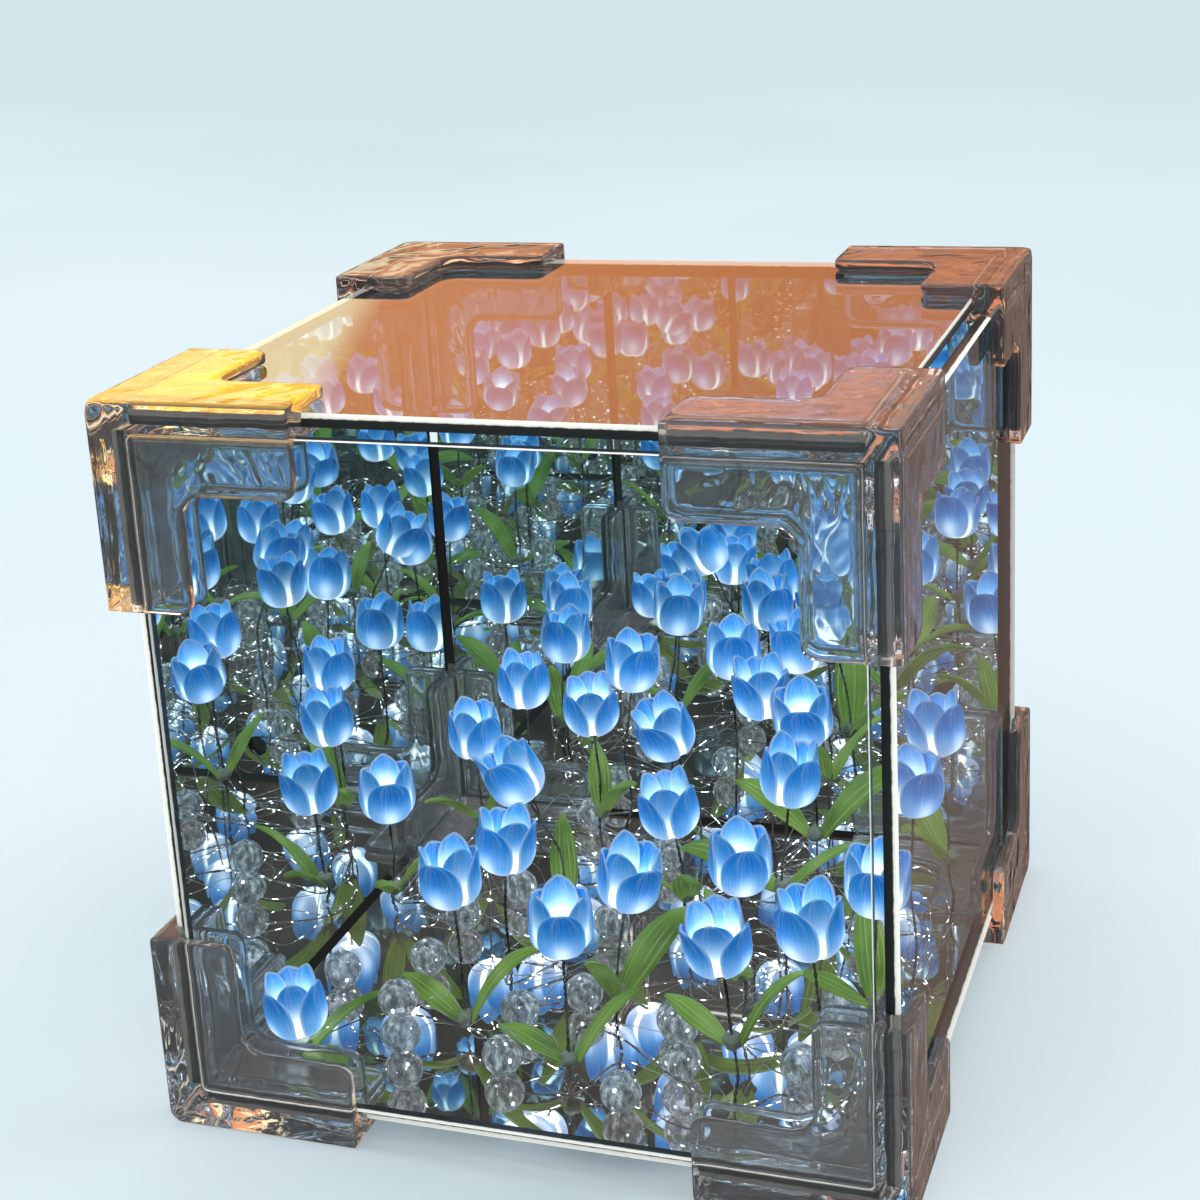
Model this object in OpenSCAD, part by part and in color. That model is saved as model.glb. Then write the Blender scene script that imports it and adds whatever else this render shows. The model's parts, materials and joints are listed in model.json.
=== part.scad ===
// Mirror display cube: six loose acrylic panels held by eight push-fit corner brackets,
// round a bed of tulips on a string of small lights. The top panel and its four brackets
// lift off together as a lid.

/* [Panels] */
// Edge length of each square panel
panel_size = 100; // [95:1:140]
// Thickness of each panel
panel_t = 2; // [1.5:0.1:3]
// Gap between a panel's edge and its neighbour's inner face
edge_gap = 1; // [0.8:0.1:2]
// Radius of the outlet hole for the light string's lead
outlet_r = 2; // [1.5:0.1:3]
// Height of the outlet hole above the back panel's lower edge
outlet_rise = 6; // [6:0.5:20]
// Sideways place of the outlet hole, from the middle of the back panel
outlet_x = -9; // [-20:1:20]

/* [Brackets] */
// How far a bracket arm reaches along the panel, from the panel's corner
arm_reach = 25; // [18:0.5:35]
// How far a bracket arm reaches in from the panel's edge
arm_width = 8; // [6:0.5:12]
// Thickness of the bracket wall outside the panel
outer_wall = 2; // [1.2:0.1:3]
// Thickness of the bracket flange behind the panel
inner_wall = 1.5; // [1:0.1:2.5]
// Room between panel and slot, on each side
slot_play = 0.1; // [0.05:0.01:0.2]
// Radius of the bracket's outer edges
edge_r = 2; // [0.5:0.1:2]
// Radius of each arm's free corner
tip_r = 2; // [1:0.1:3.5]
// Radius of the fillet between the two arms
fillet_r = 3; // [1:0.1:5]

/* [Tulips] */
// Height of a tulip cup
cup_h = 10.5; // [9:0.5:12]
// Largest outer radius of a tulip cup
cup_r = 4.4; // [4:0.1:4.6]
// Thickness of a petal
petal_t = 0.7; // [0.5:0.1:0.9]
// Depth of the gap between two petals
gap_depth = 4.5; // [3:0.1:5.5]
// Radius of the moulded light inside a cup
bulb_r = 1.3; // [0.8:0.1:1.6]

/* [Leaves and beads] */
// Radius of the ring that holds a pair of leaves on a stem
hub_r = 1.5; // [1.2:0.1:2]
// Thickness of a leaf blade
leaf_t = 0.5; // [0.4:0.1:0.8]
// Radius that a leaf blade bends to
leaf_bend = 26; // [20:1:60]
// Radius of a crackle bead
bead_r = 3; // [2.5:0.1:3.2]
// Radius of the thread hole in a bead
bead_bore_r = 0.5; // [0.4:0.1:0.8]

/* [Wires] */
// Radius of the twisted pair of wires in a stem
stem_r = 0.35; // [0.2:0.05:0.4]
// Radius of the string wire that runs from stem to stem
string_r = 0.25; // [0.15:0.05:0.3]
// Height of the string wire above the floor panel
string_rise = 2.2; // [2:0.1:4]

/* [Hidden] */
$fn = 48;
panel_half = panel_size / 2;
inner_face = panel_half + edge_gap;
outer_face = inner_face + panel_t;
half_out = outer_face + outer_wall;
floor_z = half_out - inner_face;
arm_tip = panel_half - arm_reach;
arm_side = panel_half - arm_width;
slot_in = inner_face - slot_play;
slot_out = outer_face + slot_play;
outlet_z = half_out - panel_half + outlet_rise;
cup_waist = cup_r + 0.1;
cup_flank_r = 25;
cup_bore_r = 0.5;
bulb_rise = 2.4;
bead_step = 2 * bead_r + 0.05;
bead_rest = floor_z + bead_r + 0.05;
leaf_root = 1;
far = 200;
eps = 0.01;

// Each tulip: x, y and height of its cup's base, its lean to the right and its lean to the
// front in degrees. They follow the order of the light string.
FLOWERS = [
    [-40, -40, 8, -6, 4],
    [-18, -30, 27, -3, 2],
    [2, -38, 26, 3, 8],
    [8, -27, 28, 11, 0],
    [27, -43, 29, -3, 12],
    [39, -40, 31, -5, 0],
    [44, -22, 29, 3, 5],
    [23, -18, 28, 3, 4],
    [26, 0, 34, 6, 0],
    [8, -2, 28, -6, 10],
    [-15, -16, 26, 4, 0],
    [-15, -4, 32, -26, 6],
    [-44, 5, 22, 3, 6],
    [-37, 28, 24, 3, 8],
    [-14, 25, 32, 2, 14],
    [3, 16, 33, -13, 16],
    [25, 16, 37, -2, 12],
    [45, 1, 34, 3, 4],
    [45, 23, 34, -7, 0],
    [15, 28, 36, -3, 8],
    [19, 41, 39, -13, 0],
    [7, 39, 38, 1, 0],
    [-11, 37, 35, 7, 0],
    [-32, 40, 29, 0, 4]
];

// Each set of leaves: which tulip's stem it grips, its height there, and for each blade
// its turn, its length and how far it leans out
LEAVES = [
    [0, 6, [-60, 15, 35], [-120, 12, 58]],
    [1, 8, [-80, 17, 14], [70, 13, 50]],
    [2, 8, [-70, 15, 18], [80, 12, 55]],
    [3, 14, [170, 13, 20], [-40, 17, 25]],
    [4, 17, [-80, 15, 15], [70, 12, 50]],
    [6, 14, [20, 16, 15], [110, 12, 40]],
    [7, 14, [40, 15, 30], [-170, 14, 35]],
    [8, 20, [75, 19, 50], [-75, 15, 35]],
    [9, 17, [120, 13, 35], [-160, 14, 30]],
    [11, 14, [20, 16, 20], [170, 13, 35]],
    [12, 9, [-95, 15, 25], [-170, 12, 40]],
    [13, 12, [-60, 16, 12], [150, 14, 35]],
    [14, 16, [-130, 15, 25], [20, 14, 30]],
    [16, 20, [-70, 20, 22], [80, 16, 35]],
    [18, 16, [60, 17, 18], [150, 15, 25]],
    [20, 20, [170, 19, 16], [-60, 17, 22]]
];
leaf_slender = 4.4;

// Each crackle bead: x, y, and how many beads it stands on
BEADS = [
    [-31, -12, 0], [-26, -35, 0], [-26, -35, 1], [-9, -37, 0], [-11, -24, 0],
    [13, -21, 0], [17, -32, 0], [17, -32, 1], [11, -42, 0], [-6, 6, 0],
    [-31, 3, 0], [-22, 44, 0], [-43, -19, 0], [10, 11, 0], [-3, -17, 0],
    [34, -29, 0], [36, -11, 0], [-25, 14, 0], [35, 12, 0], [-4, 31, 0]
];

function two_digits(i) = i < 9 ? str("0", i + 1) : str(i + 1);
function tulip_name(i) = str("tulip_", two_digits(i));
function leaves_name(i) = str("leaves_", two_digits(i));

// The eight corners of the cube, as signs along x, y and z, with the names of their brackets
CORNERS = [
    ["bracket_top_front_left", [-1, -1, 1]],
    ["bracket_top_front_right", [1, -1, 1]],
    ["bracket_top_back_left", [-1, 1, 1]],
    ["bracket_top_back_right", [1, 1, 1]],
    ["bracket_bottom_front_left", [-1, -1, -1]],
    ["bracket_bottom_front_right", [1, -1, -1]],
    ["bracket_bottom_back_left", [-1, 1, -1]],
    ["bracket_bottom_back_right", [1, 1, -1]]
];

// Panels

module panel() {
    translate([-panel_half, -panel_half, inner_face])
        cube([panel_size, panel_size, panel_t]);
}

module at_centre() {
    translate([0, 0, half_out]) children();
}

module front_panel() {
    color("lightsteelblue") at_centre() rotate([90, 0, 0]) panel();
}

module back_panel() {
    color("lightsteelblue") difference() {
        at_centre() rotate([-90, 0, 0]) panel();
        translate([outlet_x, inner_face - 1, outlet_z])
            rotate([-90, 0, 0]) cylinder(h = panel_t + 2, r = outlet_r);
    }
}

module left_panel() {
    color("lightsteelblue") at_centre() rotate([0, -90, 0]) panel();
}

module right_panel() {
    color("rosybrown") at_centre() rotate([0, 90, 0]) panel();
}

module bottom_panel() {
    color("silver") at_centre() rotate([180, 0, 0]) panel();
}

module top_panel() {
    color("sandybrown") at_centre() panel();
}

// Brackets, drawn for the corner where x, y and z are all positive

module rounded_square(low, high, r) {
    translate([low[0] + r, low[1]]) square([high[0] - low[0] - 2 * r, high[1] - low[1]]);
    translate([low[0], low[1] + r]) square([high[0] - low[0], high[1] - low[1] - 2 * r]);
    for (x = [low[0] + r, high[0] - r])
        for (y = [low[1] + r, high[1] - r])
            translate([x, y]) circle(r);
}

module arm_outline() {
    reach = [half_out + far, half_out + far];
    intersection() {
        translate([arm_tip, arm_tip]) square(half_out - arm_tip);
        union() {
            rounded_square([arm_tip, arm_side], reach, tip_r);
            rounded_square([arm_side, arm_tip], reach, tip_r);
            difference() {
                translate([arm_side - fillet_r, arm_side - fillet_r]) square(fillet_r + eps);
                translate([arm_side - fillet_r, arm_side - fillet_r]) circle(fillet_r);
            }
        }
    }
}

// Turns x to y, y to z and z to x, as many times as asked
module cycled(times) {
    if (times == 0) children();
    else rotate([90, 0, 90]) cycled(times - 1) children();
}

module corner_bracket() {
    intersection() {
        difference() {
            for (k = [0:2])
                cycled(k) translate([0, 0, slot_in - inner_wall])
                    linear_extrude(half_out - slot_in + inner_wall) arm_outline();
            for (k = [0:2])
                cycled(k) translate([0, 0, slot_in])
                    cube([panel_half + slot_play, panel_half + slot_play, slot_out - slot_in]);
        }
        for (k = [0:2])
            cycled(k) linear_extrude(far)
                rounded_square([-far, -far], [half_out, half_out], edge_r);
    }
}

module bracket(signs) {
    color("lightcyan") at_centre()
        mirror([signs[0] < 0 ? 1 : 0, 0, 0])
            mirror([0, signs[1] < 0 ? 1 : 0, 0])
                mirror([0, 0, signs[2] < 0 ? 1 : 0])
                    corner_bracket();
}

// Tulips: three outer petals, three inner petals and the bowl that joins them

function lean_of(f) = [sin(f[3]) * cos(f[4]), -sin(f[4]), cos(f[3]) * cos(f[4])];
function base_of(f) = [f[0], f[1], f[2]];
function knee_of(f) = base_of(f) - lean_of(f) * 0.4 * (f[2] - floor_z);
function foot_of(f) = [knee_of(f)[0], knee_of(f)[1], floor_z];
function bulb_of(f) = base_of(f) + lean_of(f) * bulb_rise;

module cup_profile(r) {
    intersection() {
        translate([0, cup_waist]) circle(r);
        square([far, cup_waist]);
    }
    intersection() {
        translate([r - cup_flank_r, cup_waist]) circle(cup_flank_r, $fn = 96);
        translate([0, cup_waist]) square([far, cup_h - cup_waist]);
    }
}

// The gap between two petals: narrow at its foot and wide at the rim
module petal_gap() {
    half = [0.05, 0.25, 0.7, 1.5];
    height = [cup_h - gap_depth, cup_h - 0.45 * gap_depth, cup_h - 0.15 * gap_depth, cup_h + 1];
    rotate([90, 0, 0]) linear_extrude(far) polygon(concat(
        [for (k = [0:3]) [half[k], height[k]]],
        [for (k = [3:-1:0]) [-half[k], height[k]]]
    ));
}

module cup() {
    difference() {
        rotate_extrude() difference() {
            cup_profile(cup_r);
            cup_profile(cup_r - petal_t);
            translate([-far, cup_h]) square(2 * far);
            square([cup_bore_r, cup_waist]);
        }
        for (turn = [0:60:359]) rotate([0, 0, turn]) petal_gap();
    }
}

module tulip(i) {
    f = FLOWERS[i];
    color("cornflowerblue") translate(base_of(f)) rotate([f[4], f[3], 0])
        rotate([0, 0, 25 * i]) cup();
}

// Leaves: a blade is a lens outline cut from a thin bent sheet

module lens(length, width) {
    r = (length * length + width * width) / (4 * width);
    intersection_for(side = [-1, 1])
        translate([side * (r - width / 2), length / 2]) circle(r, $fn = 96);
}

module blade(length) {
    translate([0, leaf_root, 0]) intersection() {
        translate([0, leaf_bend, 0]) rotate([0, 90, 0]) difference() {
            cylinder(h = far, r = leaf_bend, center = true, $fn = 96);
            cylinder(h = far + 1, r = leaf_bend - leaf_t, center = true, $fn = 96);
        }
        rotate([90, 0, 0]) translate([0, 0, -leaf_bend])
            linear_extrude(leaf_bend + 1) translate([0, -leaf_root])
                lens(length, length / leaf_slender);
    }
}

module leaves(i) {
    set = LEAVES[i];
    foot = foot_of(FLOWERS[set[0]]);
    color("olivedrab") translate([foot[0], foot[1], set[1]]) difference() {
        union() {
            sphere(hub_r);
            for (k = [2:len(set) - 1])
                rotate([0, 0, set[k][0]]) rotate([-set[k][2], 0, 0]) blade(set[k][1]);
        }
        cylinder(h = far, r = cup_bore_r, center = true);
    }
}

// Lights, beads and wires

module led_bulbs() {
    color("white") for (f = FLOWERS) translate(bulb_of(f)) sphere(bulb_r);
}

module crackle_beads() {
    color("gainsboro") for (b = BEADS)
        translate([b[0], b[1], bead_rest + b[2] * bead_step]) difference() {
            sphere(bead_r);
            cylinder(h = far, r = bead_bore_r, center = true);
        }
}

function unit(v) = v / norm(v);
function ring(centre, along, side, r, sides) =
    let (u = unit(cross(along, side)), v = unit(cross(along, u)))
    [for (k = [0:sides - 1]) centre + r * (cos(360 * k / sides) * u + sin(360 * k / sides) * v)];
function heading(points, i) =
    unit(points[min(i + 1, len(points) - 1)] - points[max(i - 1, 0)]);

// A closed tube along the points, with its rings turned square to the route
module tube(points, r, side, sides = 8) {
    last = len(points) - 1;
    rings = [for (i = [0:last]) each ring(points[i], heading(points, i), side, r, sides)];
    walls = [
        for (i = [0:last - 1]) for (k = [0:sides - 1])
            let (a = i * sides + k, b = i * sides + (k + 1) % sides)
            [a, b, b + sides, a + sides]
    ];
    ends = [
        [for (k = [sides - 1:-1:0]) k],
        [for (k = [0:sides - 1]) last * sides + k]
    ];
    polyhedron(points = rings, faces = concat(walls, ends), convexity = 10);
}

module stem_wires() {
    color("dimgray") for (f = FLOWERS)
        tube([foot_of(f), knee_of(f), bulb_of(f) - lean_of(f) * bulb_r], stem_r, [1, 0, 0]);
}

// The string runs from stem to stem in low loops, and ends inside the outlet hole's mouth
lead_in = [
    [outlet_x, inner_face - 2, outlet_z],
    [outlet_x - 4, inner_face - 4, outlet_z - 2],
    [outlet_x - 7, inner_face - 3, floor_z + string_rise]
];
function loop_between(a, b, i) =
    let (middle = (a + b) / 2, across = unit(cross(b - a, [0, 0, 1])))
    middle + across * (i % 2 == 0 ? 3 : -3) + [0, 0, 1 + i % 3];
string_feet = [
    for (i = [len(FLOWERS) - 1:-1:0]) foot_of(FLOWERS[i]) + [0, 0, string_rise]
];
string_route = concat(lead_in, [
    for (i = [0:len(string_feet) - 2])
        each [string_feet[i], loop_between(string_feet[i], string_feet[i + 1], i)]
], [string_feet[len(string_feet) - 1]]);

module string_wire() {
    color("silver") tube(string_route, string_r, [0, 0, 1]);
}

front_panel();
back_panel();
left_panel();
right_panel();
bottom_panel();
top_panel();
for (c = CORNERS)
    bracket(c[1]);
for (i = [0:len(FLOWERS) - 1])
    tulip(i);
for (i = [0:len(LEAVES) - 1])
    leaves(i);
led_bulbs();
stem_wires();
string_wire();
crackle_beads();
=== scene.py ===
"""Looks of the mirror display cube with its bed of tulips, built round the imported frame."""
import json
import math
import random

import bpy
from mathutils import Euler, Matrix, Vector
from mathutils import noise as field


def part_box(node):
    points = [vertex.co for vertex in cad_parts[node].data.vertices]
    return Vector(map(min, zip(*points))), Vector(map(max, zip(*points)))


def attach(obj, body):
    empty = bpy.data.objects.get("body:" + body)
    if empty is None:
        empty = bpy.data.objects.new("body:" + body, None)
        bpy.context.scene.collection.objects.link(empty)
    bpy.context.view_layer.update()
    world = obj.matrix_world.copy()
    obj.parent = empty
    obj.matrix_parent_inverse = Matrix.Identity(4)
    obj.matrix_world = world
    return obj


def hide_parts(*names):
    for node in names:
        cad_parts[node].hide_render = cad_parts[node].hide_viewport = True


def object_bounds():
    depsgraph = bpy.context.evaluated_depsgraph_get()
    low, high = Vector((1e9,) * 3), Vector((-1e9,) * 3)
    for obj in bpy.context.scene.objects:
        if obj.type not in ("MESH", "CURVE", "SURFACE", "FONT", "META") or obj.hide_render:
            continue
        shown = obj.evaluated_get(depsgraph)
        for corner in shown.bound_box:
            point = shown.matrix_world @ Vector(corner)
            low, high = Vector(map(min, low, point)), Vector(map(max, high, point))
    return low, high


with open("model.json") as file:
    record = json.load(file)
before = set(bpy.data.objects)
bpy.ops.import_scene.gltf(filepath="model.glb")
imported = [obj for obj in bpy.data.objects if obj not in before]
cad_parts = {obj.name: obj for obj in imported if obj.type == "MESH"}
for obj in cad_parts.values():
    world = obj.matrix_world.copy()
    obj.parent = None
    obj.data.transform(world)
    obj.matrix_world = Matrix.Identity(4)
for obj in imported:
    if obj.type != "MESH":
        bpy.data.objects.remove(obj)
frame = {"nodes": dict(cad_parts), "record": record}
cad_low, cad_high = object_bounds()

MM = 0.001
CUBE_CENTRE = (cad_low + cad_high) / 2
FLOOR_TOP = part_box("bottom_panel")[1].z
NODES = frame["nodes"]
BODY_OF = {n: b for b, ns in frame["record"]["behaviour"]["bodies"].items() for n in ns}

# Each tulip's lean to the right and to the front, in degrees, as in the CAD source.
LEANS = [
    (-6, 4), (-3, 2), (3, 8), (11, 0), (-3, 12), (-5, 0), (3, 5), (3, 4),
    (6, 0), (-6, 10), (4, 0), (-26, 6), (3, 6), (3, 8), (2, 14), (-13, 16),
    (-2, 12), (3, 4), (-7, 0), (-3, 8), (-13, 0), (1, 0), (7, 0), (0, 4),
]
# Each set of leaves: the tulip whose stem it grips, its height above the ground in
# millimetres, then each blade's turn, length and lean, as in the CAD source.
LEAVES = [
    (0, 6, (-60, 15, 35), (-120, 12, 58)),
    (1, 8, (-80, 17, 14), (70, 13, 50)),
    (2, 8, (-70, 15, 18), (80, 12, 55)),
    (3, 14, (170, 13, 20), (-40, 17, 25)),
    (4, 17, (-80, 15, 15), (70, 12, 50)),
    (6, 14, (20, 16, 15), (110, 12, 40)),
    (7, 14, (40, 15, 30), (-170, 14, 35)),
    (8, 20, (75, 19, 50), (-75, 15, 35)),
    (9, 17, (120, 13, 35), (-160, 14, 30)),
    (11, 14, (20, 16, 20), (170, 13, 35)),
    (12, 9, (-95, 15, 25), (-170, 12, 40)),
    (13, 12, (-60, 16, 12), (150, 14, 35)),
    (14, 16, (-130, 15, 25), (20, 14, 30)),
    (16, 20, (-70, 20, 22), (80, 16, 35)),
    (18, 16, (60, 17, 18), (150, 15, 25)),
    (20, 20, (170, 19, 16), (-60, 17, 22)),
]
# Each crackle bead: x, y, and how many beads it stands on, as in the CAD source.
BEADS = [
    (-31, -12, 0), (-26, -35, 0), (-26, -35, 1), (-9, -37, 0), (-11, -24, 0),
    (13, -21, 0), (17, -32, 0), (17, -32, 1), (11, -42, 0), (-6, 6, 0),
    (-31, 3, 0), (-22, 44, 0), (-43, -19, 0), (10, 11, 0), (-3, -17, 0),
    (34, -29, 0), (36, -11, 0), (-25, 14, 0), (35, 12, 0), (-4, 31, 0),
]
PANEL_INNER = 51 * MM     # from the cube's centre to a panel's film
PANEL_OUTER = 53 * MM     # and to its outer face
BEAD_RADIUS = 3.0 * MM
BEAD_REST = 3.05 * MM     # a bead's middle above the floor panel
BEAD_STEP = 6.05 * MM     # between the middles of two stacked beads
CUP_HEIGHT = 10.5 * MM
CUP_RADIUS = 4.4 * MM
CUP_NECK = 0.6 * MM       # radius of a cup where it meets its stem
BULB_RADIUS = 1.3 * MM
BULB_RISE = 2.4 * MM      # a light's middle above its cup's base
STEM_KNEE_SHARE = 0.4     # the share of its height over which a stem leans
RING_RADIUS = 1.45 * MM   # of the ring that holds two leaves
LEAF_ROOT = 0.8 * MM      # a blade's start, from its stem's axis
LEAF_BEND = 26 * MM
STRING_RISE = 2.2 * MM    # the string wire's height above the floor panel
OUTLET_X = -9 * MM
OUTLET_RISE = 7 * MM      # the outlet hole's middle above the floor panel

# Sizes that only the looks have.
PETAL_THICKNESS = 0.42 * MM
BLADE_THICKNESS = 0.36 * MM
SKIN_VOXEL = 0.45 * MM


# ---------------------------------------------------------------- camera and stage

def make_camera():
    """The camera stands to the right of the front panel, above the cube's top."""
    data = bpy.data.cameras.new("camera")
    data.lens = 66.9
    data.sensor_width = 36
    data.shift_x = 0.029
    data.shift_y = -0.092
    data.clip_start = 0.02
    data.clip_end = 50
    camera = bpy.data.objects.new("camera", data)
    from_cube = Vector((0.1043, -0.3041, 0.1266))
    place = from_cube + Vector((0, 0, CUBE_CENTRE.z))
    ahead = Vector((-0.3299, 0.8979, -0.2915)).normalized()
    tilted_up = Vector((-0.0448, 0.2935, 0.9549))
    right = ahead.cross(tilted_up).normalized()
    above = right.cross(ahead)
    turn = Matrix((right, above, -ahead)).transposed().to_4x4()
    camera.matrix_world = Matrix.Translation(place) @ turn
    bpy.context.scene.collection.objects.link(camera)
    bpy.context.scene.camera = camera


def soft_sun(name, heading, rise, softness, power, colour):
    """A wide soft light from the heading (degrees clockwise from the back) and rise."""
    data = bpy.data.lights.new(name, "SUN")
    data.angle = math.radians(softness)
    data.energy = power
    data.color = colour
    light = bpy.data.objects.new(name, data)
    light.rotation_euler = (math.radians(90 - rise), 0, math.radians(180 - heading))
    light.visible_glossy = False
    bpy.context.scene.collection.objects.link(light)


def make_lights():
    """A key light from the right and behind, and a weaker one from in front."""
    soft_sun("key", 65, 55, 30, 1.5, (1.0, 0.99, 0.97))
    soft_sun("fill", 200, 50, 60, 1.2, (0.97, 0.99, 1.0))


# ---------------------------------------------------------------- shader helpers

class Shader:
    """A node tree with one short call for each node."""

    def __init__(self, tree, out_kind):
        self.tree = tree
        tree.nodes.clear()
        self.out = tree.nodes.new(out_kind)

    def add(self, kind, settings=None, **inputs):
        node = self.tree.nodes.new(kind)
        for key, value in (settings or {}).items():
            setattr(node, key, value)
        for key, value in inputs.items():
            self.feed(node.inputs[key.replace("_", " ")], value)
        return node

    def feed(self, socket, value):
        if isinstance(value, bpy.types.NodeSocket):
            self.tree.links.new(value, socket)
        elif isinstance(value, tuple) and socket.type == "RGBA" and len(value) == 3:
            socket.default_value = (*value, 1.0)
        else:
            socket.default_value = value

    def math(self, operation, a, b=0.0, clamp=False):
        node = self.tree.nodes.new("ShaderNodeMath")
        node.operation = operation
        node.use_clamp = clamp
        self.feed(node.inputs[0], a)
        self.feed(node.inputs[1], b)
        return node.outputs[0]

    def ramp(self, factor, stops):
        node = self.tree.nodes.new("ShaderNodeValToRGB")
        points = node.color_ramp.elements
        while len(points) < len(stops):
            points.new(0.5)
        for point, (place, colour) in zip(points, stops):
            point.position = place
            shade = colour if isinstance(colour, tuple) else (colour,) * 3
            point.color = (*shade, 1.0)
        self.feed(node.inputs[0], factor)
        return node.outputs[0]

    def mix_colour(self, factor, a, b, blend="MIX"):
        node = self.tree.nodes.new("ShaderNodeMix")
        node.data_type = "RGBA"
        node.blend_type = blend
        self.feed(node.inputs[0], factor)
        self.feed(node.inputs[6], a)
        self.feed(node.inputs[7], b)
        return node.outputs[2]

    def mix_shader(self, factor, a, b):
        node = self.tree.nodes.new("ShaderNodeMixShader")
        self.feed(node.inputs[0], factor)
        self.tree.links.new(a, node.inputs[1])
        self.tree.links.new(b, node.inputs[2])
        return node.outputs[0]

    def rescale(self, value, low, high, to_low=0.0, to_high=1.0):
        node = self.tree.nodes.new("ShaderNodeMapRange")
        self.feed(node.inputs[0], value)
        for k, bound in enumerate((low, high, to_low, to_high), start=1):
            self.feed(node.inputs[k], bound)
        return node.outputs[0]

    def stretched(self, source, scale):
        return self.add("ShaderNodeMapping", Vector=source, Scale=scale).outputs[0]

    def noise(self, vector, scale, detail=2.0):
        return self.add("ShaderNodeTexNoise", Vector=vector, Scale=scale, Detail=detail).outputs[0]

    def bump(self, height, strength, distance):
        return self.add(
            "ShaderNodeBump", Height=height, Strength=strength, Distance=distance
        ).outputs[0]

    def finish(self, surface):
        self.tree.links.new(surface, self.out.inputs[0])


def new_material(name):
    material = bpy.data.materials.new(name)
    material.use_nodes = True
    return material, Shader(material.node_tree, "ShaderNodeOutputMaterial")


def let_light_through(shader, surface, tint):
    """Shadow rays pass, so that the lights reach what stands behind clear plastic."""
    path = shader.add("ShaderNodeLightPath")
    clear = shader.add("ShaderNodeBsdfTransparent", Color=tint).outputs[0]
    return shader.mix_shader(path.outputs["Is Shadow Ray"], surface, clear)


# ---------------------------------------------------------------- world and floor

def room_colour(shader, axes):
    """A warm room: cream to the left, orange behind the cube, dim in front of it."""
    azimuth = shader.math("ARCTAN2", axes[0], axes[1])
    slanted = shader.math("ADD", azimuth, shader.math("MULTIPLY", axes[2], 0.72))
    warm = shader.ramp(
        shader.rescale(slanted, -0.60, 0.60),
        [
            (0.0, (1.70, 1.34, 0.70)),
            (0.252, (1.64, 1.32, 0.78)),
            (0.259, (1.42, 0.80, 0.42)),
            (0.266, (1.20, 0.46, 0.165)),
            (0.60, (0.86, 0.30, 0.12)),
            (1.0, (0.56, 0.22, 0.12)),
        ],
    )
    ground = shader.mix_colour(
        shader.rescale(azimuth, 0.02, 0.10), (0.035, 0.032, 0.030), (0.33, 0.22, 0.18)
    )
    back = shader.mix_colour(shader.rescale(axes[2], 0.06, 0.12), ground, warm)
    front = shader.mix_colour(
        shader.rescale(axes[2], -0.1, 0.5), (0.075, 0.085, 0.090), (0.32, 0.38, 0.42)
    )
    return shader.mix_colour(shader.rescale(axes[1], 0.30, 0.60), front, back)


def make_world():
    """Pale blue behind the cube; what the cube reflects and passes on is a warm room."""
    world = bpy.data.worlds.new("studio")
    bpy.context.scene.world = world
    world.use_nodes = True
    world.cycles.sampling_method = "NONE"
    shader = Shader(world.node_tree, "ShaderNodeOutputWorld")
    towards = shader.add("ShaderNodeTexCoord").outputs["Generated"]
    axes = shader.add("ShaderNodeSeparateXYZ", Vector=towards).outputs
    path = shader.add("ShaderNodeLightPath").outputs
    through = shader.mix_colour(
        path["Is Transmission Ray"], (0.012, 0.012, 0.012), (0.30, 0.24, 0.22)
    )
    backdrop = shader.mix_colour(
        shader.rescale(axes[2], -0.35, 0.25), (0.76, 0.87, 0.92), (0.60, 0.75, 0.80)
    )
    straight = shader.math("LESS_THAN", path["Transparent Depth"], 0.5)
    seen = shader.mix_colour(
        shader.math("MULTIPLY", path["Is Camera Ray"], straight), through, backdrop
    )
    seen = shader.mix_colour(path["Is Diffuse Ray"], seen, (0.80, 0.88, 0.92))
    room = shader.mix_colour(straight, (0.016, 0.020, 0.020), room_colour(shader, axes))
    seen = shader.mix_colour(path["Is Glossy Ray"], seen, room)
    shader.finish(shader.add("ShaderNodeBackground", Color=seen).outputs[0])


def make_floor():
    """A pale floor hidden from the mirrors, shown as near-black painted shade through the panels and
    the brackets.
    """
    mesh = bpy.data.meshes.new("floor")
    half = 6.0
    level = -0.2 * MM
    corners = [(x, y, level) for x, y in ((-half, -half), (half, -half), (half, half), (-half, half))]
    mesh.from_pydata(corners, [], [(0, 1, 2, 3)])
    floor = bpy.data.objects.new("floor", mesh)
    bpy.context.scene.collection.objects.link(floor)
    material, shader = new_material("pale_floor")
    place = shader.add("ShaderNodeTexCoord").outputs["Object"]
    depth = shader.add("ShaderNodeSeparateXYZ", Vector=place).outputs[1]
    near = shader.rescale(shader.math("ADD", depth, shader.noise(place, 3.0)), 1.6, 0.2)
    colour = shader.mix_colour(near, (0.45, 0.525, 0.55), (0.61, 0.665, 0.69))
    open_floor = shader.add("ShaderNodeBsdfPrincipled", Base_Color=colour, Roughness=0.9)
    # Painted shade: seen through the panels or bent by a bracket, the floor shows near black instead
    # of its pale colour.
    dim = shader.add("ShaderNodeEmission", Color=(0.012, 0.011, 0.011), Strength=1.0)
    path = shader.add("ShaderNodeLightPath").outputs
    inside = shader.math("GREATER_THAN", path["Transparent Depth"], 0.5)
    painted_dark_share = shader.math("MAXIMUM", inside, path["Is Transmission Ray"])
    painted_dark_share = shader.math("MULTIPLY", painted_dark_share, shader.math("SUBTRACT", 1.0, path["Is Shadow Ray"]))
    shader.finish(shader.mix_shader(painted_dark_share, open_floor.outputs[0], dim.outputs[0]))
    mesh.materials.append(material)
    floor.visible_glossy = False


# ---------------------------------------------------------------- panels

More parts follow.
